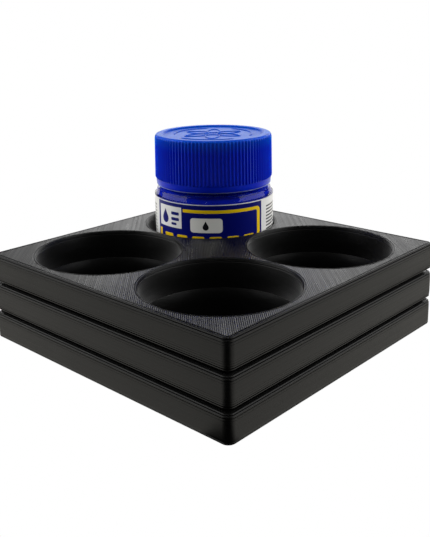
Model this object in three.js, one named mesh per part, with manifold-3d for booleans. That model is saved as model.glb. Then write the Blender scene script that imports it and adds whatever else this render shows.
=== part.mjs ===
// Paint jar holder stand: three stacked printed slabs with four round pockets, and one capped paint jar.
// Millimetres, +Z up. Origin: centre of the stand on the table plane. One pocket per quadrant.
import * as THREE from 'three';
import Module from 'manifold-3d';

// Stand
const SIDE = 82.6;            // outside width of every slab
const BASE_TOP_Z = 6.75;      // top of the lowest slab
const SLAB_PITCH = 7.95;      // height from one slab's top to the next slab's top
const SEAM = 0.3;             // gap between two slabs
const GROOVE_H = 1.1;         // height of the groove between two slabs, seam included
const NECK_INSET = 1.6;       // how far the neck inside a groove stands back
const CORNER_R = 2.0;         // vertical corner radius
const EDGE_INSET = 0.35;      // small rounding of the outer top edge
const EDGE_H = 0.5;
const FOOT_INSET = 0.45;      // small rounding where the stand meets the table
const POCKET_SPACING = 39.0;  // centre to centre
const POCKET_R = 18.7;        // bore radius
const RIM_CHAMFER = 0.5;      // chamfer at the top of a bore

// Jar, heights above the table
const JAR_X = -18.8;
const JAR_Y = 20.2;
const JAR_BASE_Z = BASE_TOP_Z + 0.15;
const GLASS_R = 17.4;         // heel and shoulder beads
const PANEL_R = 17.1;         // recess the label sits in
const PANEL_Z0 = 10.1;
const PANEL_Z1 = 31.7;
const SHOULDER_Z = 33.9;
const NECK_R = 13.5;
const NECK_BORE_R = 11.9;
const NECK_TOP_Z = 46.0;
const GLASS_INNER_R = 15.5;
const GLASS_FLOOR_Z = 9.2;

// Thread of neck and cap, one start
const LEAD = 3.0;
const THREAD_TURNS = 1.25;
const NECK_THREAD_Z = 39.0;
const NECK_CREST_R = 14.5;
const CAP_CREST_R = 13.95;

// Cap
const CAP_BOTTOM_Z = 34.5;
const CAP_TOP_Z = 49.2;
const CAP_BORE_R = 15.0;
const CAP_ROOF_Z = 47.6;
const RIBS = 102;
const RIB_DEPTH = 0.35;
const LINER_R = 14.4;
const LINER_Z0 = 46.3;
const LINER_Z1 = 47.3;

// Label and paint
const LABEL_INNER_R = 17.2;
const LABEL_OUTER_R = 17.4;
const LABEL_Z0 = 10.4;
const LABEL_Z1 = 31.4;
const PAINT_GAP = 0.2;
const PAINT_TOP_Z = 36.0;      // the jar is filled into its neck

// Roundness: every revolved part uses the same count, so neighbouring facets stay parallel
const ROUND_SEGMENTS = 48;
const CORNER_SEGMENTS = 4;

const wasm = await Module();
wasm.setup();

// ---------- small solid builders: a solid is { points: [[x, y, z]], faces: [[a, b, c]] } ----------

function signedVolume(solid) {
  let volume = 0;
  for (const [a, b, c] of solid.faces) {
    const p = solid.points[a];
    const q = solid.points[b];
    const r = solid.points[c];
    volume += p[0] * (q[1] * r[2] - q[2] * r[1]);
    volume += p[1] * (q[2] * r[0] - q[0] * r[2]);
    volume += p[2] * (q[0] * r[1] - q[1] * r[0]);
  }
  return volume / 6;
}

function facingOut(solid) {
  if (signedVolume(solid) > 0) {
    return solid;
  }
  const faces = solid.faces.map(([a, b, c]) => [a, c, b]);
  return { points: solid.points, faces };
}

// joins two closed loops of equal length that start at point numbers a and b
function band(faces, a, b, count, closed = true) {
  const last = closed ? count : count - 1;
  for (let i = 0; i < last; i += 1) {
    const j = (i + 1) % count;
    faces.push([a + i, a + j, b + j]);
    faces.push([a + i, b + j, b + i]);
  }
}

// turns a [radius, height] profile that starts and ends on the axis
function revolve(profile, segments = ROUND_SEGMENTS) {
  const points = [];
  const faces = [];
  const starts = [];
  for (const [radius, height] of profile) {
    starts.push(points.length);
    if (radius === 0) {
      points.push([0, 0, height]);
      continue;
    }
    for (let i = 0; i < segments; i += 1) {
      const angle = (i / segments) * 2 * Math.PI;
      points.push([radius * Math.cos(angle), radius * Math.sin(angle), height]);
    }
  }
  for (let k = 0; k + 1 < profile.length; k += 1) {
    const a = starts[k];
    const b = starts[k + 1];
    for (let i = 0; i < segments; i += 1) {
      const j = (i + 1) % segments;
      if (profile[k][0] === 0) {
        faces.push([a, b + j, b + i]);
      } else if (profile[k + 1][0] === 0) {
        faces.push([a + i, a + j, b]);
      }
    }
    if (profile[k][0] !== 0 && profile[k + 1][0] !== 0) {
      band(faces, a, b, segments);
    }
  }
  return facingOut({ points, faces });
}

// square with rounded corners, pulled in by an inset all round
function squareLoop(inset) {
  const loop = [];
  const radius = Math.max(CORNER_R - inset, 0.25);
  const reach = SIDE / 2 - inset - radius;
  const signs = [[1, 1], [-1, 1], [-1, -1], [1, -1]];
  signs.forEach(([sx, sy], corner) => {
    for (let i = 0; i <= CORNER_SEGMENTS; i += 1) {
      const angle = (corner + i / CORNER_SEGMENTS) * (Math.PI / 2);
      loop.push([sx * reach + radius * Math.cos(angle), sy * reach + radius * Math.sin(angle)]);
    }
  });
  return loop;
}

// stacks closed loops of [x, y] points, each with its height, and closes both ends flat
function stack(loops) {
  const points = [];
  const faces = [];
  const count = loops[0].loop.length;
  for (const { loop, z } of loops) {
    loop.forEach(([x, y]) => points.push([x, y, z]));
  }
  for (let k = 0; k + 1 < loops.length; k += 1) {
    band(faces, k * count, (k + 1) * count, count);
  }
  const top = (loops.length - 1) * count;
  for (const [a, b, c] of flatCover(loops[0].loop)) {
    faces.push([a, c, b]);
  }
  for (const [a, b, c] of flatCover(loops[loops.length - 1].loop)) {
    faces.push([top + a, top + b, top + c]);
  }
  return facingOut({ points, faces });
}

function flatCover(loop) {
  const contour = loop.map(([x, y]) => new THREE.Vector2(x, y));
  return THREE.ShapeUtils.triangulateShape(contour, []);
}

// ---------- joining and cutting ----------

function toManifold(solid) {
  const mesh = new wasm.Mesh({
    numProp: 3,
    vertProperties: new Float32Array(solid.points.flat()),
    triVerts: new Uint32Array(solid.faces.flat()),
  });
  return new wasm.Manifold(mesh);
}

function fromManifold(manifold) {
  const { vertProperties, triVerts } = manifold.getMesh();
  const points = [];
  const faces = [];
  for (let i = 0; i < vertProperties.length; i += 3) {
    points.push([vertProperties[i], vertProperties[i + 1], vertProperties[i + 2]]);
  }
  for (let i = 0; i < triVerts.length; i += 3) {
    faces.push([triVerts[i], triVerts[i + 1], triVerts[i + 2]]);
  }
  return { points, faces };
}

function cut(solid, tools) {
  const body = tools.reduce((left, tool) => left.subtract(toManifold(tool)), toManifold(solid));
  return fromManifold(body);
}

function join(solid, additions) {
  const body = additions.reduce((left, extra) => left.add(toManifold(extra)), toManifold(solid));
  return fromManifold(body);
}

function moved(solid, dx, dy, dz) {
  const points = solid.points.map(([x, y, z]) => [x + dx, y + dy, z + dz]);
  return { points, faces: solid.faces };
}

// ---------- stand ----------

// outer top edge of a slab as [inset, height]
function upperEdge(z1) {
  return [
    [0, z1 - EDGE_H],
    [0.1 * EDGE_INSET, z1 - 0.6 * EDGE_H],
    [0.4 * EDGE_INSET, z1 - 0.25 * EDGE_H],
    [EDGE_INSET, z1],
  ];
}

// foot of the lowest slab as [inset, height]
function footEdge() {
  return [
    [FOOT_INSET, 0],
    [0.3 * FOOT_INSET, 0.15],
    [0, 0.5],
  ];
}

// recessed neck and rounded lower edge of a slab that stands on another one
function neckEdge(z0) {
  const overhang = z0 - SEAM + GROOVE_H;
  return [
    [NECK_INSET, z0],
    [NECK_INSET, overhang - 0.3],
    [0.4, overhang - 0.1],
    [0.1, overhang + 0.05],
    [0, overhang + 0.4],
  ];
}

function slab(lowerEdge, z1) {
  const outline = [...lowerEdge, ...upperEdge(z1)];
  return stack(outline.map(([inset, z]) => ({ loop: squareLoop(inset), z })));
}

function pocketCutter(z0, z1, chamfer) {
  const over = 1;
  return revolve([
    [0, z0 - over],
    [POCKET_R, z0 - over],
    [POCKET_R, z1 - chamfer],
    [POCKET_R + (chamfer > 0 ? chamfer + over : 0), z1 + over],
    [0, z1 + over],
  ]);
}

function pocketCentres() {
  const half = POCKET_SPACING / 2;
  return [[half, -half], [half, half], [-half, half], [-half, -half]];
}

function baseTier() {
  return slab(footEdge(), BASE_TOP_Z);
}

// slab between two heights with four through pockets; only the uppermost one has chamfered rims
function pocketTier(z0, z1, chamfer) {
  const cutters = pocketCentres().map(([x, y]) => moved(pocketCutter(z0, z1, chamfer), x, y, 0));
  return cut(slab(neckEdge(z0), z1), cutters);
}

function middleTier() {
  return pocketTier(BASE_TOP_Z + SEAM, BASE_TOP_Z + SLAB_PITCH, 0);
}

function topTier() {
  return pocketTier(BASE_TOP_Z + SLAB_PITCH + SEAM, BASE_TOP_Z + 2 * SLAB_PITCH, RIM_CHAMFER);
}

// ---------- jar ----------

// one-start thread ridge that winds upward; it fades into the wall at both ends
function threadRidge(rootR, crestR, startZ) {
  const steps = Math.round(THREAD_TURNS * ROUND_SEGMENTS);
  const fade = 5;
  const points = [];
  const faces = [];
  const wallR = rootR + (crestR - rootR) * 0.3;
  for (let i = 0; i <= steps; i += 1) {
    const angle = (i / ROUND_SEGMENTS) * 2 * Math.PI;
    const z = startZ + (LEAD * i) / ROUND_SEGMENTS;
    const full = Math.min(1, i / fade, (steps - i) / fade);
    const crest = wallR + (crestR - wallR) * full;
    for (const [radius, dz] of [[rootR, -0.7], [crest, -0.35], [crest, 0.35], [rootR, 0.7]]) {
      points.push([radius * Math.cos(angle), radius * Math.sin(angle), z + dz]);
    }
  }
  for (let i = 0; i < steps; i += 1) {
    band(faces, i * 4, (i + 1) * 4, 4);
  }
  const end = steps * 4;
  faces.push([0, 2, 1], [0, 3, 2]);
  faces.push([end, end + 1, end + 2], [end, end + 2, end + 3]);
  return facingOut({ points, faces });
}

function jarGlass() {
  const bottle = revolve([
    [0, JAR_BASE_Z + 0.95],
    [10.0, JAR_BASE_Z + 0.75],
    [13.2, JAR_BASE_Z + 0.3],
    [14.2, JAR_BASE_Z + 0.1],
    [15.4, JAR_BASE_Z + 0.1],
    [16.7, JAR_BASE_Z + 0.5],
    [GLASS_R, JAR_BASE_Z + 1.5],
    [GLASS_R, PANEL_Z0 - 0.3],
    [PANEL_R, PANEL_Z0],
    [PANEL_R, PANEL_Z1],
    [GLASS_R, PANEL_Z1 + 0.25],
    [GLASS_R - 0.4, PANEL_Z1 + 0.45],
    [GLASS_R - 0.85, SHOULDER_Z - 0.4],
    [GLASS_R - 1.7, SHOULDER_Z - 0.1],
    [NECK_R + 0.5, SHOULDER_Z],
    [NECK_R, SHOULDER_Z + 0.4],
    [NECK_R, NECK_TOP_Z - 0.4],
    [NECK_R - 0.4, NECK_TOP_Z],
    [NECK_BORE_R + 0.3, NECK_TOP_Z],
    [NECK_BORE_R, NECK_TOP_Z - 0.4],
    [NECK_BORE_R, SHOULDER_Z - 0.1],
    [NECK_BORE_R + 0.7, SHOULDER_Z - 1.0],
    [GLASS_INNER_R - 0.9, SHOULDER_Z - 1.5],
    [GLASS_INNER_R, SHOULDER_Z - 2.9],
    [GLASS_INNER_R, GLASS_FLOOR_Z + 1.2],
    [GLASS_INNER_R - 1.2, GLASS_FLOOR_Z],
    [0, GLASS_FLOOR_Z + 0.3],
  ]);
  return join(bottle, [threadRidge(NECK_R - 0.3, NECK_CREST_R, NECK_THREAD_Z)]);
}

// thin paper band round the bottle, open by a narrow seam at the back of the jar
function jarLabel() {
  const first = ROUND_SEGMENTS * (135 / 360) + 0.2;
  const last = first + ROUND_SEGMENTS - 0.4;
  const steps = [first];
  for (let i = Math.ceil(first); i < last; i += 1) {
    steps.push(i);
  }
  steps.push(last);
  const points = [];
  const faces = [];
  for (const step of steps) {
    for (const [radius, z] of labelSection()) {
      const [x, y] = facetPoint(radius, step);
      points.push([x, y, z]);
    }
  }
  for (let i = 0; i + 1 < steps.length; i += 1) {
    band(faces, i * 4, (i + 1) * 4, 4);
  }
  const end = (steps.length - 1) * 4;
  faces.push([0, 2, 1], [0, 3, 2]);
  faces.push([end, end + 1, end + 2], [end, end + 2, end + 3]);
  return facingOut({ points, faces });
}

function labelSection() {
  return [
    [LABEL_INNER_R, LABEL_Z0],
    [LABEL_OUTER_R, LABEL_Z0],
    [LABEL_OUTER_R, LABEL_Z1],
    [LABEL_INNER_R, LABEL_Z1],
  ];
}

// point on the flat facet of a revolved part, at a fractional segment number
function facetPoint(radius, step) {
  const whole = Math.floor(step);
  const share = step - whole;
  const a = (whole / ROUND_SEGMENTS) * 2 * Math.PI;
  const b = ((whole + 1) / ROUND_SEGMENTS) * 2 * Math.PI;
  const x = radius * (Math.cos(a) * (1 - share) + Math.cos(b) * share);
  const y = radius * (Math.sin(a) * (1 - share) + Math.sin(b) * share);
  return [x, y];
}

function paintFill() {
  const radius = GLASS_INNER_R - PAINT_GAP;
  const floor = GLASS_FLOOR_Z + 0.3 + PAINT_GAP;
  return revolve([
    [0, floor],
    [radius - 1.2, floor],
    [radius, floor + 1.1],
    [radius, SHOULDER_Z - 2.95],
    [GLASS_INNER_R - 1.05, SHOULDER_Z - 1.75],
    [NECK_BORE_R + 0.55, SHOULDER_Z - 1.25],
    [NECK_BORE_R - PAINT_GAP, SHOULDER_Z - 0.3],
    [NECK_BORE_R - PAINT_GAP, PAINT_TOP_Z - 0.1],
    [NECK_BORE_R - PAINT_GAP - 0.3, PAINT_TOP_Z],
    [0, PAINT_TOP_Z],
  ]);
}

// ring of the cap: smooth, or with one tooth and one gap per rib
function capLoop(radius, depth) {
  const loop = [];
  const count = RIBS * 2;
  for (let i = 0; i < count; i += 1) {
    const angle = (i / count) * 2 * Math.PI;
    const r = i % 2 === 0 ? radius : radius - depth;
    loop.push([r * Math.cos(angle), r * Math.sin(angle)]);
  }
  return loop;
}

function capShell() {
  const body = stack([
    { loop: capLoop(16.5, 0), z: CAP_BOTTOM_Z },
    { loop: capLoop(16.85, 0), z: CAP_BOTTOM_Z + 0.4 },
    { loop: capLoop(16.95, 0), z: CAP_BOTTOM_Z + 1.9 },
    { loop: capLoop(17.1, RIB_DEPTH), z: CAP_BOTTOM_Z + 2.3 },
    { loop: capLoop(16.96, RIB_DEPTH), z: CAP_TOP_Z - 0.7 },
    { loop: capLoop(16.4, 0), z: CAP_TOP_Z },
  ]);
  const bore = revolve([
    [0, CAP_BOTTOM_Z - 1],
    [CAP_BORE_R + 0.5 + 1, CAP_BOTTOM_Z - 1],
    [CAP_BORE_R, CAP_BOTTOM_Z + 0.5],
    [CAP_BORE_R, CAP_ROOF_Z - 0.4],
    [CAP_BORE_R - 0.4, CAP_ROOF_Z],
    [0, CAP_ROOF_Z],
  ]);
  const recess = revolve([
    [0, CAP_TOP_Z - 0.5],
    [13.2, CAP_TOP_Z - 0.5],
    [14.7, CAP_TOP_Z + 1],
    [0, CAP_TOP_Z + 1],
  ]);
  const thread = threadRidge(CAP_BORE_R + 0.4, CAP_CREST_R, NECK_THREAD_Z - LEAD / 2);
  return join(cut(body, [bore, recess]), [thread]);
}

function capLiner() {
  return revolve([
    [0, LINER_Z0],
    [LINER_R - 0.2, LINER_Z0],
    [LINER_R, LINER_Z0 + 0.2],
    [LINER_R, LINER_Z1 - 0.2],
    [LINER_R - 0.2, LINER_Z1],
    [0, LINER_Z1],
  ]);
}

// ---------- assembly ----------

function toMesh(name, solid, material) {
  const geometry = new THREE.BufferGeometry();
  geometry.setAttribute('position', new THREE.Float32BufferAttribute(solid.points.flat(), 3));
  geometry.setIndex(solid.faces.flat());
  geometry.computeVertexNormals();
  const mesh = new THREE.Mesh(geometry, new THREE.MeshStandardMaterial(material));
  mesh.name = name;
  return mesh;
}

const BLACK_PRINT = { color: 0x1b1b1c, roughness: 0.42, metalness: 0 };
const CLEAR_GLASS = { color: 0xdfe8ea, roughness: 0.05, metalness: 0, transparent: true, opacity: 0.35 };
const NAVY_PAPER = { color: 0x0a0f5c, roughness: 0.4, metalness: 0 };
const BLUE_PAINT = { color: 0x10309a, roughness: 0.35, metalness: 0 };
const BLUE_PLASTIC = { color: 0x1428b4, roughness: 0.35, metalness: 0 };
const WHITE_FOAM = { color: 0xe8e6de, roughness: 0.9, metalness: 0 };

function buildPart() {
  const onJarAxis = (solid) => moved(solid, JAR_X, JAR_Y, 0);
  const group = new THREE.Group();
  group.name = 'paint_jar_holder_stand';
  group.add(toMesh('base_tier', baseTier(), BLACK_PRINT));
  group.add(toMesh('middle_tier', middleTier(), BLACK_PRINT));
  group.add(toMesh('top_tier', topTier(), BLACK_PRINT));
  group.add(toMesh('jar_glass', onJarAxis(jarGlass()), CLEAR_GLASS));
  group.add(toMesh('jar_label', onJarAxis(jarLabel()), NAVY_PAPER));
  group.add(toMesh('paint_fill', onJarAxis(paintFill()), BLUE_PAINT));
  group.add(toMesh('cap_shell', onJarAxis(capShell()), BLUE_PLASTIC));
  group.add(toMesh('cap_liner', onJarAxis(capLiner()), WHITE_FOAM));
  return group;
}

export default buildPart();
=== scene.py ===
import math
import bpy
import bmesh
from mathutils import Matrix, Vector
from mathutils.geometry import delaunay_2d_cdt


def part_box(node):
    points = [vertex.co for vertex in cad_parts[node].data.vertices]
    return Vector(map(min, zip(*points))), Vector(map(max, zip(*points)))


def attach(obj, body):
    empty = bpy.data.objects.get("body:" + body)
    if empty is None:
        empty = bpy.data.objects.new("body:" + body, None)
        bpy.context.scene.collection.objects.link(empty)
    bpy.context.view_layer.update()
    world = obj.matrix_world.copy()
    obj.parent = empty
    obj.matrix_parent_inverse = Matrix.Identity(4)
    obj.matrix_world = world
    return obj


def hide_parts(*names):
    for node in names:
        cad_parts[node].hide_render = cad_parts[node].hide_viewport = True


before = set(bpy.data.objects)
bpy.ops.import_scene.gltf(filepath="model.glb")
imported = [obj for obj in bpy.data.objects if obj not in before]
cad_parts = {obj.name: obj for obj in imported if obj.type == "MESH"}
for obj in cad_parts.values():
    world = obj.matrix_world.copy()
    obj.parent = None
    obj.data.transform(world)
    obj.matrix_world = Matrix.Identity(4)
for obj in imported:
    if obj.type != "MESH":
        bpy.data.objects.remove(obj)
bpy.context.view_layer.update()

MM = 0.001
TAU = 2 * math.pi
ROOT_HALF = 0.70711                   # cosine of 45 degrees

# ---------------------------------------------------------------- sizes, in millimetres, from the frame
BOXES = {name: [[c / MM for c in corner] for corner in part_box(name)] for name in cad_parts}
SIDE = BOXES["top_tier"][1][0] - BOXES["top_tier"][0][0]
HALF = SIDE / 2
BASE_Z = (BOXES["base_tier"][0][2], BOXES["base_tier"][1][2])
MIDDLE_Z = (BOXES["middle_tier"][0][2], BOXES["middle_tier"][1][2])
TOP_Z = (BOXES["top_tier"][0][2], BOXES["top_tier"][1][2])
SEAM = TOP_Z[0] - MIDDLE_Z[1]
CORNER_R = 2.0
LEAST_CORNER_R = 0.3                  # of a loop that lies far inside the outline
GROOVE_H = 1.1
NECK_INSET = 1.6
POCKET_R = 18.7
POCKET_SEGMENTS = 144
HALF_SPACING = 19.5
POCKETS = [(HALF_SPACING, -HALF_SPACING), (HALF_SPACING, HALF_SPACING),
           (-HALF_SPACING, HALF_SPACING), (-HALF_SPACING, -HALF_SPACING)]
RASTER = 0.42                         # width of one printed road
RASTER_DEPTH = 0.05
RUN_OUT = 0.25                        # the roads level out over this width at a border
LAYER = 0.2                           # height of one printed layer
CAP_LOW, CAP_HIGH = BOXES["cap_shell"]
JAR = ((CAP_LOW[0] + CAP_HIGH[0]) / 2, (CAP_LOW[1] + CAP_HIGH[1]) / 2)
CAP_Z = (CAP_LOW[2], CAP_HIGH[2])
CAP_RECESS = 0.5                      # depth of the recess in the cap's top
GLASS_Z = (BOXES["jar_glass"][0][2], BOXES["jar_glass"][1][2])
BEAD_HIGHLIGHT_STRIP = 0.2                      # white strip painted at the label's top edge, up to the bead of the glass: a painted highlight that stands in for the bead's reflection
LABEL_Z = (BOXES["jar_label"][0][2], BOXES["jar_label"][1][2] + BEAD_HIGHLIGHT_STRIP)
LABEL_R = 17.4
FACING = math.radians(-47.1)          # the middle of the label's front, seen from above


# ---------------------------------------------------------------- mesh helpers
def finish_object(name, mesh, materials, body, nodes=(), sharp=35.0, merge=0.0004):
    bm = bmesh.new()
    bm.from_mesh(mesh)
    bmesh.ops.remove_doubles(bm, verts=bm.verts, dist=merge * MM)
    bmesh.ops.recalc_face_normals(bm, faces=bm.faces)
    bm.to_mesh(mesh)
    bm.free()
    mesh.shade_smooth()
    mesh.set_sharp_from_angle(angle=math.radians(sharp))
    for m in materials:
        mesh.materials.append(m)
    obj = bpy.data.objects.new(name, mesh)
    bpy.context.scene.collection.objects.link(obj)
    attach(obj, body)
    if nodes:
        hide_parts(*nodes)


def build_mesh(name, points, faces, indices=None):
    mesh = bpy.data.meshes.new(name)
    mesh.from_pydata([(x * MM, y * MM, z * MM) for x, y, z in points], [], faces)
    if indices:
        for polygon, index in zip(mesh.polygons, indices):
            polygon.material_index = index
    return mesh


def strip(faces, a, b, count):
    for i in range(count):
        j = (i + 1) % count
        faces.append((a + i, a + j, b + j, b + i))


def inside(loop, x, y):
    hit = False
    for i in range(len(loop)):
        (ax, ay), (bx, by) = loop[i - 1], loop[i]
        if (ay > y) != (by > y) and x < (bx - ax) * (y - ay) / (by - ay) + ax:
            hit = not hit
    return hit


def add_path(coords, edges, path, closed=True):
    start = len(coords)
    coords += [Vector(p) for p in path]
    last = len(path) if closed else len(path) - 1
    edges += [(start + i, start + (i + 1) % len(path)) for i in range(last)]


def fill(coords, edges, keep):
    """Flat triangles that follow the edges; keep says which triangles stay, by their middle."""
    verts, _, faces = delaunay_2d_cdt(coords, edges, [], 0, 1e-6)[:3]
    kept = []
    for face in faces:
        middle = sum((verts[i] for i in face), Vector((0, 0))) / len(face)
        if keep(middle.x, middle.y):
            kept.append(tuple(face))
    return [tuple(v) for v in verts], kept


def arc_points(cx, cy, radius, start, end, steps):
    out = []
    for i in range(steps + 1):
        a = start + (end - start) * i / steps
        out.append((cx + radius * math.cos(a), cy + radius * math.sin(a)))
    return out


def rounded_path(points, steps=5):
    """Open path of (r, z, fillet radius) with its corners rounded."""
    out = []
    for i, (x, y, f) in enumerate(points):
        if i in (0, len(points) - 1) or f <= 0:
            out.append((x, y))
            continue
        here = Vector((x, y))
        before = Vector(points[i - 1][:2]) - here
        after = Vector(points[i + 1][:2]) - here
        angle = before.angle(after)
        reach = min(f / math.tan(angle / 2), before.length * 0.49, after.length * 0.49)
        a = here + before.normalized() * reach
        b = here + after.normalized() * reach
        for k in range(steps + 1):
            t = k / steps
            p = a * (1 - t) ** 2 + here * 2 * t * (1 - t) + b * t ** 2
            out.append((p.x, p.y))
    return out


def lathe_data(profile, centre, segments):
    points, faces, starts = [], [], []
    for radius, z in profile:
        starts.append(len(points))
        if radius < 1e-6:
            points.append((centre[0], centre[1], z))
            continue
        for i in range(segments):
            a = TAU * i / segments
            points.append((centre[0] + radius * math.cos(a), centre[1] + radius * math.sin(a), z))
    for k in range(len(profile) - 1):
        a, b = starts[k], starts[k + 1]
        if profile[k][0] < 1e-6:
            faces += [(a, b + i, b + (i + 1) % segments) for i in range(segments)]
        elif profile[k + 1][0] < 1e-6:
            faces += [(a + i, a + (i + 1) % segments, b) for i in range(segments)]
        else:
            strip(faces, a, b, segments)
    return points, faces


# ---------------------------------------------------------------- node helpers
class Nodes:
    """A short way to write a procedural material."""

    def __init__(self, name):
        self.material = bpy.data.materials.new(name)
        self.material.use_nodes = True
        self.tree = self.material.node_tree
        self.tree.nodes.clear()
        self.out = self.tree.nodes.new("ShaderNodeOutputMaterial")
        self.bsdf = self.tree.nodes.new("ShaderNodeBsdfPrincipled")
        self.link(self.bsdf.outputs[0], self.out.inputs[0])

    def link(self, a, b):
        self.tree.links.new(a, b)

    def put(self, socket, value):
        if isinstance(value, bpy.types.NodeSocket):
            self.link(value, socket)
        else:
            socket.default_value = value

    def set(self, **values):
        for key, value in values.items():
            self.put(self.bsdf.inputs[key.replace("_", " ")], value)

    def math(self, operation, a, b=0.0, c=0.0):
        node = self.tree.nodes.new("ShaderNodeMath")
        node.operation = operation
        for socket, value in zip(node.inputs, (a, b, c)):
            self.put(socket, value)
        return node.outputs[0]

    def xyz(self):
        coord = self.tree.nodes.new("ShaderNodeTexCoord")
        split = self.tree.nodes.new("ShaderNodeSeparateXYZ")
        self.link(coord.outputs["Object"], split.inputs[0])
        return coord.outputs["Object"], split.outputs[0], split.outputs[1], split.outputs[2]

    def join(self, x, y, z):
        node = self.tree.nodes.new("ShaderNodeCombineXYZ")
        for socket, value in zip(node.inputs, (x, y, z)):
            self.put(socket, value)
        return node.outputs[0]

    def noise(self, vector, scale, detail=3.0):
        node = self.tree.nodes.new("ShaderNodeTexNoise")
        self.link(vector, node.inputs["Vector"])
        node.inputs["Scale"].default_value = scale
        node.inputs["Detail"].default_value = detail
        node.inputs["Roughness"].default_value = 0.55
        return node.outputs[0]

    def random(self, value):
        node = self.tree.nodes.new("ShaderNodeTexWhiteNoise")
        node.noise_dimensions = "1D"
        self.put(node.inputs["W"], value)
        return node.outputs["Value"]

    def span(self, value, low, high, lo=0.0, hi=1.0, smooth=False):
        node = self.tree.nodes.new("ShaderNodeMapRange")
        if smooth:
            node.interpolation_type = "SMOOTHSTEP"
        self.put(node.inputs["Value"], value)
        for key, v in (("From Min", low), ("From Max", high), ("To Min", lo), ("To Max", hi)):
            node.inputs[key].default_value = v
        return node.outputs[0]

    def blend(self, factor, a, b):
        node = self.tree.nodes.new("ShaderNodeMix")
        node.data_type = "RGBA"
        self.put(node.inputs[0], factor)
        self.put(node.inputs[6], a)
        self.put(node.inputs[7], b)
        return node.outputs[2]

    def bump(self, height, strength, distance):
        node = self.tree.nodes.new("ShaderNodeBump")
        node.inputs["Strength"].default_value = strength
        node.inputs["Distance"].default_value = distance * MM
        self.link(height, node.inputs["Height"])
        self.link(node.outputs[0], self.bsdf.inputs["Normal"])


# ---------------------------------------------------------------- materials
def printed_plastic(name, raster, roughness, grey, **more):
    """Black filament print: roads across a top face, layer lines up a wall."""
    n = Nodes(name)
    vector, x, y, z = n.xyz()
    if raster == "top":
        pitch = n.math("MULTIPLY", n.math("ADD", x, y), ROOT_HALF / (RASTER * MM))
        along = n.math("MULTIPLY", n.math("SUBTRACT", x, y), ROOT_HALF)
    else:
        pitch = n.math("MULTIPLY", z, 1 / (LAYER * MM))
        along = n.math("ADD", x, y)
    index = n.math("FLOOR", pitch)
    phase = n.math("FRACT", pitch)
    ridge = n.math("SINE", n.math("MULTIPLY", phase, math.pi))
    chance = n.random(index)
    streak_vector = n.join(n.math("MULTIPLY", pitch, 0.9), n.math("MULTIPLY", along, 60.0),
                           n.math("MULTIPLY", index, 0.37))
    streak = n.noise(streak_vector, 1.0, 2.0)
    cloud = n.noise(vector, 130.0, 3.0)
    grain = n.noise(vector, 2600.0, 2.0)
    height = n.math("MULTIPLY_ADD", ridge, 0.45, n.math("MULTIPLY", chance, 0.3))
    height = n.math("MULTIPLY_ADD", streak, 0.35, height)
    height = n.math("MULTIPLY_ADD", grain, 0.12, height)
    tone = n.math("MULTIPLY_ADD", cloud, 0.5, n.math("MULTIPLY", chance, 0.5))
    dark = (grey * 0.75, grey * 0.75, grey * 0.72, 1)
    pale = (grey * 1.3, grey * 1.3, grey * 1.24, 1)
    n.set(Base_Color=n.blend(tone, dark, pale), IOR=1.46,
          Roughness=n.span(tone, 0.2, 0.8, roughness - 0.05, roughness + 0.06), **more)
    if raster == "top":
        n.bump(height, 0.5, 0.03)
    else:
        n.bump(height, 1.0, 0.02)
    return n.material


def glass_material():
    n = Nodes("jar_glass_clear")
    vector = n.xyz()[0]
    n.set(Base_Color=(0.96, 0.985, 0.99, 1), Roughness=0.02, Transmission_Weight=1.0, IOR=1.5)
    n.bump(n.noise(vector, 160.0, 2.0), 0.08, 0.25)
    return n.material


def paint_material():
    n = Nodes("paint_blue")
    vector = n.xyz()[0]
    cloud = n.noise(vector, 90.0, 3.0)
    n.set(Base_Color=n.blend(cloud, (0.001, 0.010, 0.40, 1), (0.002, 0.013, 0.48, 1)),
          Roughness=n.span(cloud, 0.3, 0.7, 0.16, 0.26), Specular_IOR_Level=0.0)
    n.bump(n.noise(vector, 420.0, 2.0), 0.1, 0.05)
    return n.material


def cap_material(name, specular, sheen, lit_top_colour):
    """Blue plastic with painted light: its colour turns to a lighter top colour near the top, a painted stand-in
    for light from above, and a thin pale line at the lower edge is a painted highlight.
    """
    n = Nodes(name)
    vector, x, y, z = n.xyz()
    cloud = n.noise(vector, 110.0, 4.0)
    fine = n.noise(vector, 1500.0, 3.0)
    low = n.blend(cloud, (0.0, 0.009, 0.34, 1), (0.0, 0.013, 0.40, 1))
    # painted light: the colour turns lighter towards the top, where light from above falls
    top_light_mask = n.span(z, (CAP_Z[1] - 4.2) * MM, (CAP_Z[1] - 0.5) * MM)
    # painted highlight: a thin pale line along the cap's lower edge
    low = n.blend(n.span(z, (CAP_Z[0] + 0.25) * MM, (CAP_Z[0] + 0.4) * MM), (0.22, 0.24, 0.55, 1), low)
    n.set(Base_Color=n.blend(n.math("POWER", top_light_mask, 1.6), low, lit_top_colour),
          Roughness=n.span(fine, 0.3, 0.7, 0.2, 0.27), IOR=1.49, Specular_IOR_Level=specular,
          Sheen_Weight=sheen, Sheen_Roughness=0.25, Sheen_Tint=(0.4, 0.62, 1.0, 1),
          Subsurface_Weight=0.35, Subsurface_Radius=(0.3, 0.5, 1.0), Subsurface_Scale=0.0018)
    n.bump(fine, 0.03, 0.02)
    return n.material


def print_ink(name, colour):
    n = Nodes(name)
    vector = n.xyz()[0]
    fibre = n.noise(vector, 900.0, 4.0)
    wide = n.noise(vector, 70.0, 2.0)
    dark = tuple(c * 0.9 for c in colour) + (1,)
    pale = tuple(min(1.0, c * 1.06) for c in colour) + (1,)
    n.set(Base_Color=n.blend(wide, dark, pale),
          Roughness=n.span(fibre, 0.3, 0.7, INK_ROUGHNESS - 0.05, INK_ROUGHNESS + 0.07),
          Specular_IOR_Level=0.25)
    n.bump(fibre, 0.12, 0.02)
    return n.material


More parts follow.
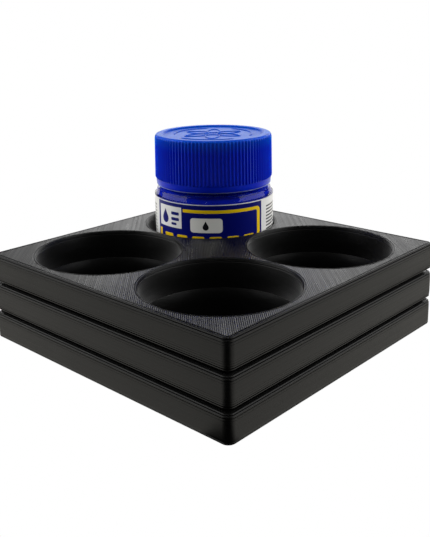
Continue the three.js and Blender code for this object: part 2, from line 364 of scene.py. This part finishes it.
def foam_material():
    n = Nodes("liner_foam")
    vector = n.xyz()[0]
    cell = n.tree.nodes.new("ShaderNodeTexVoronoi")
    n.link(vector, cell.inputs["Vector"])
    cell.inputs["Scale"].default_value = 2400.0
    distance = cell.outputs["Distance"]
    n.set(Base_Color=n.blend(distance, (0.82, 0.81, 0.77, 1), (0.9, 0.89, 0.85, 1)), Roughness=0.85)
    n.bump(distance, 0.4, 0.05)
    return n.material


INK_ROUGHNESS = 0.34
PRINT_SIDE = printed_plastic("print_black_wall", "wall", 0.36, 0.001)
PRINT_TOP = printed_plastic("print_black_top", "top", 0.31, 0.0015)
PRINT_BEAD = printed_plastic("print_black_bead", "wall", 0.33, 0.003)
# The pockets' floors take a darker, duller copy of the top's material: painted shade for the bottom of the
# pockets.
PRINT_SHADED_FLOOR = printed_plastic("print_black_floor_shaded", "top", 0.62, 0.001, Specular_IOR_Level=0.1)
PRINT_BORE = printed_plastic("print_black_bore", "wall", 0.40, 0.001, Sheen_Weight=0.45, Sheen_Roughness=0.3)
WALL, FLAT, BEAD, BORE = range(4)     # the order of a slab's materials


# ---------------------------------------------------------------- the three printed slabs
def square_loop(inset, steps=10):
    radius = max(CORNER_R - inset, LEAST_CORNER_R)
    reach = HALF - inset - radius
    loop = []
    for corner, (sx, sy) in enumerate(((1, 1), (-1, 1), (-1, -1), (1, -1))):
        for i in range(steps + 1):
            a = (corner + i / steps) * math.pi / 2
            loop.append((sx * reach + radius * math.cos(a), sy * reach + radius * math.sin(a)))
    return loop


# (inset, depth below the top): the end of the raster, a fine groove and the perimeter bead
UPPER_EDGE = [
    (1.05, 0.0), (0.98, 0.01), (0.94, 0.20), (0.86, 0.20), (0.80, 0.05), (0.72, 0.01),
    (0.60, 0.0), (0.45, 0.0), (0.33, 0.04), (0.24, 0.12), (0.19, 0.20)]
# (inset, depth below the top): the wall's beads, with a crease between two
UPPER_BEADS = [
    (0.20, 0.27), (0.48, 0.29), (0.48, 0.45), (0.13, 0.48), (0.06, 0.56), (0.03, 0.70),
    (0.04, 0.86), (0.08, 0.94), (0.24, 0.96), (0.24, 1.03), (0.05, 1.05), (0.01, 1.18),
    (0.01, 1.45), (0.02, 1.54), (0.09, 1.55), (0.09, 1.58), (0.01, 1.59), (0.0, 1.74)]
# (inset, height above the overhang)
LOWER_BEADS = [
    (0.0, 1.96), (0.03, 1.95), (0.03, 1.93), (0.0, 1.92), (0.01, 1.48), (0.08, 1.47), (0.08, 1.44),
    (0.02, 1.43), (0.03, 0.96), (0.16, 0.95), (0.16, 0.86), (0.05, 0.85), (0.05, 0.68), (0.08, 0.55),
    (0.45, 0.53), (0.45, 0.33), (0.10, 0.31), (0.07, 0.20), (0.12, 0.08), (0.24, 0.01), (0.5, -0.02)]
# (inset, height above the ground)
FOOT_EDGE = [
    (0.0, 1.1), (0.0, 0.78), (0.03, 0.68), (0.09, 0.63), (0.09, 0.60),
    (0.02, 0.53), (0.02, 0.36), (0.10, 0.16), (0.26, 0.03), (0.45, 0.0)]
BEAD_STEPS = len(UPPER_EDGE) + 5      # so many steps of the profile, from the top, are bead
# (radius, depth below the top) of the chamfered rim of a pocket
RIM = [
    (19.48, 0.0), (19.45, 0.03), (19.42, 0.13), (19.37, 0.15), (19.32, 0.11), (19.25, 0.03), (19.15, 0.0),
    (19.05, 0.01), (18.95, 0.07), (18.87, 0.18), (18.84, 0.30), (18.93, 0.38), (18.93, 0.41), (18.80, 0.48),
    (18.74, 0.62), (18.76, 0.78), (18.84, 0.87), (18.84, 0.89), (18.74, 0.96), (POCKET_R, 1.15)]
RIM_BEAD_STEPS = 14                   # so many steps of the rim, from the top, are bead


def pocket_rings(z0, z1, rim, lips):
    if rim:
        rings = [(radius, z1 - depth) for radius, depth in RIM]
    else:
        rings = [(19.3, z1), (19.2, z1), (19.15, z1 + lips), (18.74, z1 + lips), (POCKET_R, z1 + lips - 0.04)]
    rings += [(POCKET_R, (z0 + z1) / 2), (POCKET_R, z0 - lips + 0.04), (18.74, z0 - lips)]
    rings += [(19.15, z0 - lips), (19.2, z0), (19.3, z0)]
    return rings


def raster_height(x, y):
    """Depth of the raster below the top face: round-backed roads, RASTER wide, that run along (1, -1)."""
    phase = ((x + y) * ROOT_HALF / RASTER) % 1.0
    return RASTER_DEPTH * (1.0 - math.sin(math.pi * phase) ** 0.5)


def near_border(x, y, edge, radius):
    """True on the outline of the top face or on the rim of a pocket, where the raster has run out."""
    corner = max(CORNER_R - edge, LEAST_CORNER_R)
    reach = HALF - edge - corner
    over = math.hypot(max(abs(x) - reach, 0.0), max(abs(y) - reach, 0.0))
    return over > corner - 0.1 or any(math.hypot(x - cx, y - cy) < radius + 0.1 for cx, cy in POCKETS)


def road_spans(c, edge, radius):
    """Where the road at offset c runs: from border to border, less the pockets."""
    tip = (HALF - edge) * math.sqrt(2)
    if abs(c) > tip - 0.55:
        return []
    end = min(tip - 0.283 - abs(c), tip - 0.55)
    spans = [(-end, end)]
    for cx, cy in POCKETS:
        along = (cx - cy) * ROOT_HALF
        square = (radius + 0.2) ** 2 - (c - (cx + cy) * ROOT_HALF) ** 2
        if square > 0:
            half = math.sqrt(square)
            pieces = [(a, min(b, along - half)) for a, b in spans]
            pieces += [(max(a, along + half), b) for a, b in spans]
            spans = [(a, b) for a, b in pieces if b - a > 0.3]
    return spans


def rim_arcs(radius, clear):
    """Rings round the pockets, left out where they would come closer than clear to the axis of the next pocket."""
    paths = []
    for cx, cy in POCKETS:
        others = [p for p in POCKETS if p != (cx, cy)]
        ring = arc_points(cx, cy, radius, 0, TAU, POCKET_SEGMENTS)
        for a, b in zip(ring, ring[1:]):
            if all(math.hypot(x - ox, y - oy) > clear for x, y in (a, b) for ox, oy in others):
                paths.append([a, b])
    return paths


def flat_with_raster(loops, keep, z, edge, radius):
    """The top face with every road of the raster in its mesh; the roads level out over the last RUN_OUT."""
    coords, edges = [], []
    for loop in loops + [square_loop(edge + RUN_OUT)]:
        add_path(coords, edges, loop)
    for arc in rim_arcs(radius + RUN_OUT, radius + 0.15):
        add_path(coords, edges, arc, closed=False)
    count = int(HALF * 1.42 / RASTER) + 1
    for k in range(-count, count + 1):
        for share in (0.0, 0.16, 0.5, 0.84):
            c = (k + share) * RASTER
            for span in road_spans(c, edge, radius):
                road = [((c + t) * ROOT_HALF, (c - t) * ROOT_HALF) for t in span]
                add_path(coords, edges, road, closed=False)
    verts, kept = fill(coords, edges, keep)
    used = sorted({i for face in kept for i in face})
    place = {old: new for new, old in enumerate(used)}
    points = []
    for x, y in (verts[i] for i in used):
        points.append((x, y, z if near_border(x, y, edge, radius) else z - raster_height(x, y)))
    return points, [tuple(place[i] for i in face) for face in kept]


def tier(name, node, body, z_range, pockets, rim=False, foot=False):
    z0, z1 = z_range
    points, faces, indices = [], [], []
    profile = [(i, z1 - d) for i, d in UPPER_EDGE + UPPER_BEADS]
    if foot:
        profile += FOOT_EDGE
    else:
        overhang = z0 - SEAM + GROOVE_H
        profile += [(i, overhang + h) for i, h in LOWER_BEADS]
        profile += [(0.9, overhang - 0.12), (NECK_INSET - 0.1, overhang - 0.25)]
        profile += [(NECK_INSET, overhang - 0.4), (NECK_INSET, z0)]
    count = len(square_loop(0))
    starts = []
    for inset, z in profile:
        starts.append(len(points))
        points += [(x, y, z) for x, y in square_loop(inset)]
    for k in range(len(profile) - 1):
        strip(faces, starts[k], starts[k + 1], count)
        indices += [BEAD if k < BEAD_STEPS else WALL] * count
    rings = pocket_rings(z0, z1, rim, SEAM / 2 - 0.01) if pockets else []
    centres = POCKETS if pockets else []
    for cx, cy in centres:
        ring_starts = []
        for radius, z in rings:
            ring_starts.append(len(points))
            points += [(x, y, z) for x, y in arc_points(cx, cy, radius, 0, TAU, POCKET_SEGMENTS)[:-1]]
        for k in range(len(rings) - 1):
            strip(faces, ring_starts[k + 1], ring_starts[k], POCKET_SEGMENTS)
            indices += [BEAD if rim and k < RIM_BEAD_STEPS else BORE] * POCKET_SEGMENTS
    for end, z in ((0, z1), (-1, z0)):
        edge = profile[end][0]
        radius = rings[end][0] if rings else 0
        outline = square_loop(edge)
        holes = [arc_points(cx, cy, radius, 0, TAU, POCKET_SEGMENTS)[:-1] for cx, cy in centres]

        def keep(x, y, outline=outline, holes=holes):
            return inside(outline, x, y) and not any(inside(hole, x, y) for hole in holes)

        if rim and z == z1:
            flat, triangles = flat_with_raster([outline] + holes, keep, z, edge, radius)
        else:
            coords, edges = [], []
            for loop in [outline] + holes:
                add_path(coords, edges, loop)
            flat, triangles = fill(coords, edges, keep)
            flat = [(x, y, z) for x, y in flat]
        start = len(points)
        points += flat
        faces += [tuple(start + i for i in t) for t in triangles]
        indices += [FLAT] * len(triangles)
    mesh = build_mesh(name, points, faces, indices)
    # The base slab's flat faces, seen as the pockets' floors, take the painted-shade copy.
    materials = [PRINT_SIDE, PRINT_SHADED_FLOOR if foot else PRINT_TOP, PRINT_BEAD, PRINT_BORE]
    finish_object(name, mesh, materials, body, (node,), sharp=48)


tier("stand_base_slab", "base_tier", "base", BASE_Z, pockets=False, foot=True)
tier("stand_middle_slab", "middle_tier", "middle", MIDDLE_Z, pockets=True)
tier("stand_top_slab", "top_tier", "top", TOP_Z, pockets=True, rim=True)


# ---------------------------------------------------------------- jar: glass, paint, liner
GLASS = glass_material()
PAINT = paint_material()
# The side and the face are copies of one blue plastic whose top colours differ: painted light, the face's darker
# top colour offsetting the stronger light from above on it.
CAP = cap_material("cap_blue_plastic", 0.16, 1.0, (0.0, 0.046, 0.41, 1))
CAP_FACE = cap_material("cap_blue_face", 0.02, 0.3, (0.0, 0.036, 0.30, 1))
FOAM = foam_material()
SHOULDER = 33.9
PAINT_TOP = 36.0


def turned(name, profile, segments, material, body, node, sharp=35.0):
    """A body of revolution on the jar's axis, from a path of (r, z, fillet radius)."""
    points, faces = lathe_data(rounded_path(profile), JAR, segments)
    finish_object(name, build_mesh(name, points, faces), [material], body, (node,), sharp=sharp)


G0, G1 = GLASS_Z
turned("jar_bottle", [
    (0, G0 + 0.85, 0), (10.0, G0 + 0.7, 2), (13.6, G0 + 0.15, 0.5), (14.3, G0, 0.4), (15.6, G0, 0.8),
    (17.0, G0 + 0.7, 0.8), (17.4, G0 + 1.6, 0.6), (17.4, 9.85, 0.15), (17.1, 10.05, 0.1), (17.1, 31.6, 0.08),
    (17.4, 31.68, 0.08), (17.4, 31.92, 0.14), (17.0, 32.08, 0.25), (16.55, 33.6, 0.28),
    (15.6, SHOULDER - 0.06, 0.5), (13.9, SHOULDER, 0.3), (13.5, SHOULDER + 0.5, 0.3), (13.5, G1 - 0.1, 0.25),
    (13.0, G1, 0.3), (12.1, G1, 0.3), (11.9, G1 - 0.5, 0.3), (11.9, SHOULDER - 0.2, 0.6),
    (12.8, SHOULDER - 1.1, 0.6), (14.7, SHOULDER - 1.6, 0.8), (15.5, SHOULDER - 3.0, 0.8),
    (15.5, 10.3, 0.9), (14.3, 9.2, 0.9), (0, 9.5, 0)],
    192, GLASS, "jar", "jar_glass", sharp=50)
turned("jar_paint", [
    (0, 9.4, 0), (14.4, 9.0, 0.8), (15.7, 10.1, 0.8), (15.7, SHOULDER - 3.0, 0.8), (14.9, SHOULDER - 1.42, 0.8),
    (12.9, SHOULDER - 0.9, 0.5), (12.1, SHOULDER, 0.4), (12.1, PAINT_TOP, 0.2), (11.4, PAINT_TOP - 0.12, 0.3),
    (0, PAINT_TOP - 0.15, 0)],
    144, PAINT, "jar", "paint_fill")
L0, L1 = BOXES["cap_liner"][0][2], BOXES["cap_liner"][1][2]
turned("cap_seal_disc", [
    (0, L0, 0), (13.6, L0, 0.2), (14.39, L0 + 0.05, 0.15), (14.4, L1 - 0.05, 0.15), (14.2, L1, 0.1), (0, L1, 0)],
    96, FOAM, "liner", "cap_liner")


# ---------------------------------------------------------------- threads
LEAD = 3.0
THREAD_TURNS = 1.25
THREAD_START_Z = 39.0
THREAD_STEPS = 100
RUN_IN = 9                            # steps over which the crest rises at either end


def thread(name, root, crest, z_start, material, body):
    points, faces = [], []
    wall = root + (crest - root) * 0.3
    for i in range(THREAD_STEPS + 1):
        a = TAU * THREAD_TURNS * i / THREAD_STEPS
        z = z_start + LEAD * THREAD_TURNS * i / THREAD_STEPS
        full = min(1.0, i / RUN_IN, (THREAD_STEPS - i) / RUN_IN)
        top = wall + (crest - wall) * math.sin(full * math.pi / 2)
        flank = top * 0.8 + wall * 0.2
        section = [(root, -0.68), (wall, -0.56), (flank, -0.42), (top, -0.25),
                   (top, 0.25), (flank, 0.42), (wall, 0.56), (root, 0.68)]
        points += [(JAR[0] + r * math.cos(a), JAR[1] + r * math.sin(a), z + dz) for r, dz in section]
    around = len(section)
    for i in range(THREAD_STEPS):
        strip(faces, i * around, (i + 1) * around, around)
    faces.append(tuple(range(around)))
    faces.append(tuple(THREAD_STEPS * around + i for i in range(around)))
    finish_object(name, build_mesh(name, points, faces), [material], body)


thread("neck_thread", 13.4, 14.5, THREAD_START_Z, GLASS, "jar")
thread("cap_thread", 15.3, 13.95, THREAD_START_Z - LEAD / 2, CAP, "cap")


# ---------------------------------------------------------------- screw cap
RIBS = 102
RIB_DEPTH = 0.36
RIB_STEPS = 12                        # points round the cap for one rib
SIDE_STEPS = 21                       # so many steps of the rings, from inside and below, are the cap's side


def cap_rings():
    """(radius, height, depth of the ribs) from the inside, round the lower edge and up to the recess."""
    z0, z1 = CAP_Z
    return [
        (15.0, 13.6 + z0 - 0.6, 0), (15.0, z0 + 0.5, 0), (15.15, z0 + 0.18, 0), (15.5, z0 + 0.02, 0),
        (15.9, z0, 0), (16.3, z0 + 0.02, 0), (16.52, z0 + 0.12, 0), (16.66, z0 + 0.3, 0),
        (16.72, z0 + 0.6, 0), (16.8, z0 + 1.9, 0), (16.78, z0 + 2.02, 0), (16.86, z0 + 2.1, 0.06),
        (17.0, z0 + 2.2, 0.2), (17.07, z0 + 2.35, 0.3), (17.1, z0 + 2.6, RIB_DEPTH), (17.05, z0 + 7.5, RIB_DEPTH),
        (16.98, z1 - 1.3, RIB_DEPTH), (16.95, z1 - 0.95, RIB_DEPTH * 0.9), (16.9, z1 - 0.7, RIB_DEPTH * 0.6),
        (16.82, z1 - 0.48, RIB_DEPTH * 0.25), (16.7, z1 - 0.28, 0.02), (16.52, z1 - 0.12, 0),
        (16.28, z1 - 0.03, 0), (16.0, z1, 0), (14.9, z1, 0), (14.62, z1 - 0.04, 0), (14.38, z1 - 0.17, 0),
        (14.2, z1 - 0.36, 0), (13.95, z1 - 0.46, 0), (13.6, z1 - 0.49, 0), (12.0, z1 - CAP_RECESS, 0)]


def cap_shell():
    count = RIBS * RIB_STEPS
    points, faces = [], []
    rings = cap_rings()
    starts, indices = [], []
    for radius, z, depth in rings:
        starts.append(len(points))
        for i in range(count):
            a = TAU * i / count
            wave = 0.5 - 0.5 * math.cos(a * RIBS)
            r = radius - depth * wave ** 0.6
            points.append((JAR[0] + r * math.cos(a), JAR[1] + r * math.sin(a), z))
    for k in range(len(rings) - 1):
        strip(faces, starts[k], starts[k + 1], count)
        indices += [0 if k < SIDE_STEPS else 1] * count
    centre_top = len(points)
    points.append((JAR[0], JAR[1], rings[-1][1]))
    faces += [(starts[-1] + i, starts[-1] + (i + 1) % count, centre_top) for i in range(count)]
    indices += [1] * count
    roof = len(points)
    points.append((JAR[0], JAR[1], rings[0][1]))
    faces += [(starts[0] + (i + 1) % count, starts[0] + i, roof) for i in range(count)]
    indices += [0] * count
    mesh = build_mesh("cap_ribbed_shell", points, faces, indices)
    finish_object("cap_ribbed_shell", mesh, [CAP, CAP_FACE], "cap", ("cap_shell",), sharp=50)


cap_shell()

RIDGE_HEIGHT = 0.2
# (across, up) as shares of half the ridge's width and of its height
RIDGE_SECTION = [(-1.0, -0.05), (-0.8, 0.45), (-0.4, 0.9), (0.0, 1.0), (0.4, 0.9), (0.8, 0.45), (1.0, -0.05)]


def ridge_on_cap(name, path, width, closed):
    """A raised bead following a path of (x, y) in the cap's recess."""
    z = CAP_Z[1] - CAP_RECESS
    points, faces = [], []
    count = len(path)
    around = len(RIDGE_SECTION)
    for i in range(count):
        before = Vector(path[i - 1]) if closed or i > 0 else Vector(path[i])
        after = Vector(path[(i + 1) % count]) if closed or i < count - 1 else Vector(path[i])
        side = (after - before).normalized().orthogonal()
        taper = 1.0 if closed else min(1.0, 0.25 + min(i, count - 1 - i) / 3)
        for s, h in RIDGE_SECTION:
            p = Vector(path[i]) + side * s * width / 2 * taper
            points.append((JAR[0] + p.x, JAR[1] + p.y, z + h * RIDGE_HEIGHT * taper))
    for i in range(count if closed else count - 1):
        a, b = i * around, ((i + 1) % count) * around
        for s in range(around - 1):
            faces.append((a + s, a + s + 1, b + s + 1, b + s))
        faces.append((a + around - 1, a, b, b + around - 1))
    if not closed:
        faces.append(tuple(range(around)))
        faces.append(tuple((count - 1) * around + s for s in range(around)))
    finish_object(name, build_mesh(name, points, faces), [CAP_FACE], "cap")


for k in range(3):
    start = math.radians(20 + 120 * k)
    arc = arc_points(0, 0, 11.3, start, start + math.radians(84), 40)
    ridge_on_cap("cap_top_arc_%d" % (k + 1), arc, 0.6, closed=False)
PETAL_STEPS = 36
for k in range(6):
    turn = math.radians(60 * k + 10)
    petal = []
    for i in range(PETAL_STEPS):
        t = TAU * i / PETAL_STEPS
        u = 5.4 + 3.6 * math.cos(t)
        v = 1.9 * math.sin(t) * (1 - 0.35 * math.cos(t))
        petal.append((u * math.cos(turn) - v * math.sin(turn), u * math.sin(turn) + v * math.cos(turn)))
    ridge_on_cap("cap_top_petal_%d" % (k + 1), petal, 0.5, closed=True)


# ---------------------------------------------------------------- printed label
INK = {
    "navy": print_ink("label_navy", (0.0, 0.0022, 0.105)),
    "yellow": print_ink("label_yellow", (0.64, 0.43, 0.003)),
    "grey": print_ink("label_grey", (0.60, 0.60, 0.57)),
    "white": print_ink("label_white", (0.57, 0.57, 0.555)),
    "black": print_ink("label_black", (0.006, 0.006, 0.008)),
}
INK_ORDER = ["navy", "yellow", "grey", "white", "black"]
PAPER = INK_ORDER.index("white")
LABEL_SEAM = 1.15                     # width of the gap between the label's two ends
LABEL_COLUMNS = 150
TOUCH = 1e-5


def rect(u0, z0, u1, z1, corner=0.0, steps=5):
    if corner <= 0:
        return [(u0, z0), (u1, z0), (u1, z1), (u0, z1)]
    left, right, low, high = u0 + corner, u1 - corner, z0 + corner, z1 - corner
    loop = []
    for k, (cx, cy) in enumerate(((right, high), (left, high), (left, low), (right, low))):
        loop += arc_points(cx, cy, corner, k * math.pi / 2, (k + 1) * math.pi / 2, steps)
    return loop


def drop(u, z, size):
    """A plain paint drop, point up."""
    loop = arc_points(u, z, size, math.radians(148), math.radians(392), 18)
    loop.append((u, z + size * 2.1))
    return loop


def label_shapes():
    """Generic print: (ink, outline) from back to front, on navy. There is no lettering and no mark in it."""
    z0, z1 = LABEL_Z
    shapes = [
        ("white", rect(-60, z0 - 1, -19.6, z1 + 1)),
        ("white", rect(15.1, z0 - 1, 60, z1 + 1)),
        ("yellow", rect(-19.0, 11.6, 14.35, 30.12, 1.2)),
        ("navy", rect(-17.8, 12.7, 13.2, 29.2, 0.55)),
        ("navy", rect(-19.4, 23.4, -9.15, 30.9)),
        ("white", rect(-18.6, 24.35, -9.65, 30.4, 0.15)),
        ("navy", drop(-15.9, 26.6, 1.35)),
        ("navy", rect(-13.4, 28.0, -10.5, 28.9, 0.3)),
        ("navy", rect(-13.4, 26.4, -10.5, 27.3, 0.3)),
        ("navy", rect(-13.4, 25.1, -11.4, 25.8, 0.3)),
        ("grey", rect(-6.9, 23.7, 2.25, 27.8, 0.9)),
        ("black", drop(-2.45, 25.25, 0.85)),
    ]
    for k in range(6):                # an even row of equal blocks
        a = -16.2 + 4.93 * k
        shapes.append(("yellow", rect(a, 19.4, a + 3.43, 22.6, 0.35)))
    for a, b in ((-16.2, -5.0), (-3.8, 3.4), (4.6, 11.9)):
        shapes.append(("white", rect(a, 16.9, b, 17.7, 0.2)))
        shapes.append(("white", rect(a, 15.1, b - 1.2, 15.8, 0.2)))
    for k in range(17):               # plain bars on the white ends
        z = 29.35 - 0.95 * k
        length = (7.6, 8.4, 6.9, 8.1, 5.2)[k % 5]
        shapes.append(("black", rect(17.6, z - 0.42, 17.6 + length, z, 0.1)))
        shapes.append(("black", rect(-22.0 - length, z - 0.42, -22.0, z, 0.1)))
    # painted highlight: a white strip along the label's top edge, standing in for the reflection on the glass bead
    # above it
    shapes.append(("white", rect(-60, z1 - BEAD_HIGHLIGHT_STRIP, 60, z1 + 1)))
    shapes.append(("navy", rect(29.5, 12.5, 40.5, 29.5, 0.6)))
    shapes.append(("yellow", rect(31.0, 25.4, 39.0, 27.9, 0.5)))
    for k in range(5):
        shapes.append(("grey", rect(31.0, 22.8 - 2.0 * k, 39.0 - (k % 2) * 2.2, 23.5 - 2.0 * k, 0.2)))
    return shapes


def label():
    """One flat sheet in (u, z), cut along the print, wrapped round the bottle and given the paper's thickness."""
    around = TAU * LABEL_R
    low, high = -around / 2 + LABEL_SEAM / 2, around / 2 - LABEL_SEAM / 2
    offset = (math.radians(135) - (FACING + math.pi)) * LABEL_R
    low, high = low + offset, high + offset
    z0, z1 = LABEL_Z
    shapes = label_shapes()
    coords, edges = [], []
    add_path(coords, edges, [(low, z0), (high, z0), (high, z1), (low, z1)])
    for _, loop in shapes:
        add_path(coords, edges, [(min(max(u, low), high), min(max(z, z0), z1)) for u, z in loop])
    columns = [low + (high - low) * i / LABEL_COLUMNS for i in range(LABEL_COLUMNS + 1)]
    for u in columns[1:-1]:
        add_path(coords, edges, [(u, z0), (u, z1)], closed=False)
    verts, _, triangles = delaunay_2d_cdt(coords, edges, [], 0, TOUCH)[:3]

    def wrap(u, z, radius):
        a = FACING + u / LABEL_R
        return (JAR[0] + radius * math.cos(a), JAR[1] + radius * math.sin(a), z)

    points = [wrap(v.x, v.y, LABEL_R - 0.01) for v in verts]
    faces, indices = [], []
    for t in triangles:
        m = sum((verts[i] for i in t), Vector((0, 0))) / len(t)
        ink = "navy"
        for name, loop in shapes:
            if inside(loop, m.x, m.y):
                ink = name
        faces.append(tuple(t))
        indices.append(INK_ORDER.index(ink))
    start = len(points)
    for u in columns:
        points += [wrap(u, z, LABEL_R - 0.17) for z in (z0, z1)]
    borders = [sorted((v.x, i) for i, v in enumerate(verts) if abs(v.y - z) < TOUCH) for z in (z0, z1)]
    for i in range(LABEL_COLUMNS):
        a, b = start + i * 2, start + (i + 1) * 2
        faces.append((a, a + 1, b + 1, b))
        for side, border in enumerate(borders):
            outer = [k for u, k in border if columns[i] - TOUCH <= u <= columns[i + 1] + TOUCH]
            faces.append((a + side, b + side, *reversed(outer)))
    for u, a in ((low, start), (high, start + LABEL_COLUMNS * 2)):
        outer = sorted((v.y, i) for i, v in enumerate(verts) if abs(v.x - u) < TOUCH)
        faces.append((a, *(i for _, i in outer), a + 1))
    indices += [PAPER] * (len(faces) - len(indices))
    mesh = build_mesh("jar_printed_label", points, faces, indices)
    inks = [INK[k] for k in INK_ORDER]
    finish_object("jar_printed_label", mesh, inks, "jar", ("jar_label",), sharp=60, merge=0.002)


label()


# ---------------------------------------------------------------- floor, light, camera
# The floor's glow is laid out along the main camera's own directions on the ground, as fixed numbers.
ACROSS = (0.736, 0.677)               # to the main camera's right
FRONT = (0.677, -0.736)               # from the stand towards the main camera
APEX = 0.0484                         # metres from the centre to where the dim wedge in front begins


def floor():
    """Plain white to the camera, without light or shadow on it. As a light source it glows at both sides of the
    stand and behind it, is dim in a wedge in front, and falls off far away. It stays put when the view moves."""
    n = Nodes("floor_white")
    x, y = n.xyz()[1:3]
    side = n.math("ABSOLUTE", n.math("ADD", n.math("MULTIPLY", x, ACROSS[0]), n.math("MULTIPLY", y, ACROSS[1])))
    depth = n.math("SUBTRACT", n.math("MULTIPLY", x, FRONT[0]), n.math("MULTIPLY", y, -FRONT[1]))
    spread = n.math("DIVIDE", side, n.math("MAXIMUM", n.math("SUBTRACT", depth, APEX), 0.005))
    flank = n.span(spread, 0.35, 1.0, 0.006, 0.56, smooth=True)
    away = n.tree.nodes.new("ShaderNodeVectorMath")
    away.operation = "LENGTH"
    n.link(n.join(x, y, 0.0), away.inputs[0])
    reach = n.span(away.outputs["Value"], 0.08, 0.30, 1.0, 0.22, smooth=True)
    camera_ray = n.tree.nodes.new("ShaderNodeLightPath").outputs["Is Camera Ray"]
    behind = n.span(depth, 0.01, -0.10, 0.0, 0.95)
    glow = n.math("MAXIMUM", n.math("MULTIPLY", flank, reach), behind)
    n.set(Base_Color=(0.0, 0.0, 0.0, 1), Roughness=1.0, Specular_IOR_Level=0.0,
          Emission_Color=n.blend(camera_ray, (1, 0.975, 0.9, 1), (1, 1, 1, 1)),
          Emission_Strength=n.math("MAXIMUM", camera_ray, glow))
    mesh = bpy.data.meshes.new("floor")
    mesh.from_pydata([(-4, -4, 0), (4, -4, 0), (4, 4, 0), (-4, 4, 0)], [], [(0, 1, 2, 3)])
    mesh.materials.append(n.material)
    obj = bpy.data.objects.new("floor", mesh)
    bpy.context.scene.collection.objects.link(obj)
    obj.location.z = -0.0002


def studio_world():
    """White to the camera and nearly dark as a light source."""
    world = bpy.data.worlds.new("studio")
    bpy.context.scene.world = world
    world.use_nodes = True
    tree = world.node_tree
    ray = tree.nodes.new("ShaderNodeLightPath")
    level = tree.nodes.new("ShaderNodeMapRange")
    for key, v in (("From Min", 0.0), ("From Max", 1.0), ("To Min", 0.025), ("To Max", 1.0)):
        level.inputs[key].default_value = v
    tree.links.new(ray.outputs["Is Camera Ray"], level.inputs["Value"])
    tree.links.new(level.outputs[0], tree.nodes["Background"].inputs[1])
    tree.nodes["Background"].inputs[0].default_value = (1, 1, 1, 1)


def area_light(name, place, size, power, target=(0, 0, 0.03), glossy=True):
    data = bpy.data.lights.new(name, "AREA")
    data.shape = "RECTANGLE"
    data.size, data.size_y = size
    data.energy = power
    obj = bpy.data.objects.new(name, data)
    bpy.context.scene.collection.objects.link(obj)
    obj.location = place
    obj.visible_camera = False
    obj.visible_glossy = glossy
    obj.rotation_euler = (Vector(target) - Vector(place)).to_track_quat("-Z", "Y").to_euler()


floor()
studio_world()
area_light("overhead", (-0.15, 0.16, 0.9), (0.8, 0.8), 1.5, target=(0, 0, 0.02), glossy=False)
area_light("front_top", (0.306, -0.33, 0.78), (0.8, 0.6), 2.8, glossy=False)
area_light("front_strip", (0.30, -0.32, 0.62), (0.5, 0.02), 0.14)
area_light("back_panel", (-0.50, 0.76, 0.28), (1.0, 0.36), 1.68)
area_light("left_box", (-0.50, -0.28, 0.30), (0.6, 0.6), 5.9, glossy=False)
area_light("right_box", (0.33, 0.47, 0.30), (0.6, 0.6), 5.9, glossy=False)
area_light("left_panel", (-0.48, -0.42, 0.34), (0.9, 0.7), 1.9)
area_light("right_panel", (0.48, 0.42, 0.34), (0.9, 0.7), 1.9)

CAMERA_PLACE = Vector((0.129067, -0.139119, 0.081275))
CAMERA_FORWARD = Vector((-0.66236, 0.71577, -0.22126))
CAMERA_RIGHT = Vector((0.73611, 0.6767, -0.01451))
camera_data = bpy.data.cameras.new("camera")
camera = bpy.data.objects.new("camera", camera_data)
bpy.context.scene.collection.objects.link(camera)
bpy.context.scene.camera = camera
camera_data.sensor_width = 36.0
camera_data.lens = 50.55
camera_data.shift_y = -0.1462
camera_data.clip_start = 0.005
camera_data.clip_end = 20.0
forward = CAMERA_FORWARD.normalized()
right = (CAMERA_RIGHT - forward * CAMERA_RIGHT.dot(forward)).normalized()
up = right.cross(forward)
axes = Matrix((right, up, -forward)).transposed()
camera.matrix_world = Matrix.Translation(CAMERA_PLACE) @ axes.to_4x4()

bpy.context.scene.view_settings.view_transform = "Standard"
bpy.context.scene.view_settings.look = "None"
